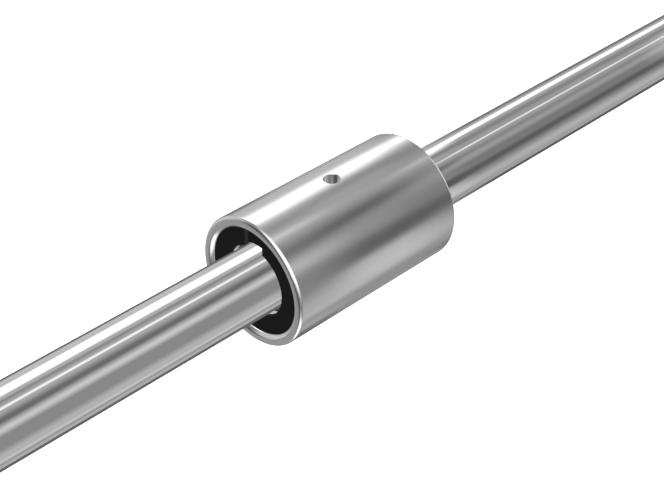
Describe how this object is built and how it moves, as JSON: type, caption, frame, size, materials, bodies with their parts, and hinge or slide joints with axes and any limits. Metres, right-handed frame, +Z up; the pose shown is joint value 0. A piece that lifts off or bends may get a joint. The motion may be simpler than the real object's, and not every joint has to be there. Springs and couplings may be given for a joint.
{
  "type": "linear bushing",
  "caption": "Closed recirculating-ball linear bushing with a polished steel sleeve, black end rings and a ground shaft running through it",
  "frame": {"origin": "middle of the bushing, on its axis", "axes": "+X along the shaft towards the far end, +Z up through the lubrication hole, +Y completes the frame"},
  "size_m": [0.12, 0.012, 0.012],
  "materials": {
    "sleeve_steel": "ground and polished bearing steel",
    "shaft_steel": "hardened, ground and polished shaft steel",
    "ring_black": "black oxide spring steel",
    "shield_black": "black moulded plastic, satin",
    "washer_steel": "bright turned steel",
    "cage_polymer": "black acetal, satin",
    "ball_steel": "lapped bearing steel"
  },
  "bodies": {
    "bushing": {"cage": "cage_polymer", "end_washer_far": "washer_steel", "end_washer_near": "washer_steel", "loaded_ball_1_1": "ball_steel", "loaded_ball_1_2": "ball_steel", "loaded_ball_1_3": "ball_steel", "loaded_ball_1_4": "ball_steel", "loaded_ball_1_5": "ball_steel", "loaded_ball_1_6": "ball_steel", "loaded_ball_1_7": "ball_steel", "loaded_ball_1_8": "ball_steel", "loaded_ball_1_9": "ball_steel", "loaded_ball_2_1": "ball_steel", "loaded_ball_2_2": "ball_steel", "loaded_ball_2_3": "ball_steel", "loaded_ball_2_4": "ball_steel", "loaded_ball_2_5": "ball_steel", "loaded_ball_2_6": "ball_steel", "loaded_ball_2_7": "ball_steel", "loaded_ball_2_8": "ball_steel", "loaded_ball_2_9": "ball_steel", "loaded_ball_3_1": "ball_steel", "loaded_ball_3_2": "ball_steel", "loaded_ball_3_3": "ball_steel", "loaded_ball_3_4": "ball_steel", "loaded_ball_3_5": "ball_steel", "loaded_ball_3_6": "ball_steel", "loaded_ball_3_7": "ball_steel", "loaded_ball_3_8": "ball_steel", "loaded_ball_3_9": "ball_steel", "loaded_ball_4_1": "ball_steel", "loaded_ball_4_2": "ball_steel", "loaded_ball_4_3": "ball_steel", "loaded_ball_4_4": "ball_steel", "loaded_ball_4_5": "ball_steel", "loaded_ball_4_6": "ball_steel", "loaded_ball_4_7": "ball_steel", "loaded_ball_4_8": "ball_steel", "loaded_ball_4_9": "ball_steel", "outer_sleeve": "sleeve_steel", "retaining_ring_far": "ring_black", "retaining_ring_near": "ring_black", "return_balls_1": "ball_steel", "return_balls_2": "ball_steel", "return_balls_3": "ball_steel", "return_balls_4": "ball_steel", "shield_far": "shield_black", "shield_near": "shield_black"},
    "shaft": {"shaft": "shaft_steel"}
  },
  "joints": [
    {"name": "shaft_slide", "type": "slide", "parent": "bushing", "child": "shaft", "axis": [1, 0, 0], "range_m": [-0.042, 0.042]}
  ]
}
